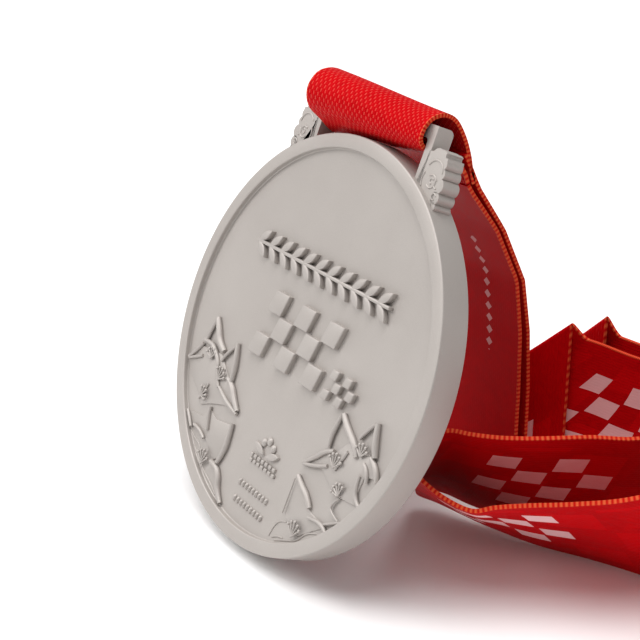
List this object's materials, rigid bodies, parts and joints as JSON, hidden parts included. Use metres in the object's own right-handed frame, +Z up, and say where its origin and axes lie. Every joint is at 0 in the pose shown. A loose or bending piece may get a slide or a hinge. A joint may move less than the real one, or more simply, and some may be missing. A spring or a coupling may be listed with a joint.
{
  "type": "finisher medal",
  "caption": "Round cast sports medal with cloud-shaped ears, a ribbon bar and relief on its front, on a wide satin neck ribbon that swings about the bar.",
  "frame": {"origin": "centre of the disc's back face", "axes": "+X to the medal's right as seen from the front, +Z up, front towards -Y; the disc leans back 22.6 degrees, as on a stand"},
  "size_m": [0.1814, 0.0967, 0.0841],
  "materials": {
    "metal": "matt sand-blasted antique-silver plating",
    "ribbon": "woven polyester satin, printed",
    "thread": "polyester sewing thread"
  },
  "bodies": {
    "medal": {"medal_disc": "metal", "front_rim": "metal", "ear_left": "metal", "ear_right": "metal", "ribbon_bar": "metal", "ear_curls_left": "metal", "ear_curls_right": "metal", "title_garland": "metal", "centre_checks": "metal", "suffix_checks": "metal", "flower_upper_left": "metal", "flower_lower_left": "metal", "flower_upper_right": "metal", "flower_lower_right": "metal", "hill_relief": "metal", "sprig_emblem": "metal", "bead_rows": "metal"},
    "ribbon": {"ribbon_loop": "ribbon", "ribbon_tail": "ribbon", "seam_stitching": "thread", "strap_front": "ribbon", "strap_back": "ribbon", "strap_fold_front": "ribbon", "strap_fold_back": "ribbon", "neck_run_inner": "ribbon", "neck_turn_inner": "ribbon", "neck_run_middle": "ribbon", "neck_turn_left": "ribbon", "neck_run_near": "ribbon", "neck_turn_outer": "ribbon", "neck_run_outer": "ribbon"}
  },
  "joints": [
    {"name": "ribbon_swing", "type": "hinge", "parent": "medal", "child": "ribbon", "pos_m": [0, 0.0145, 0.04265], "axis": [1, 0, 0], "range_deg": [0, 90]}
  ]
}
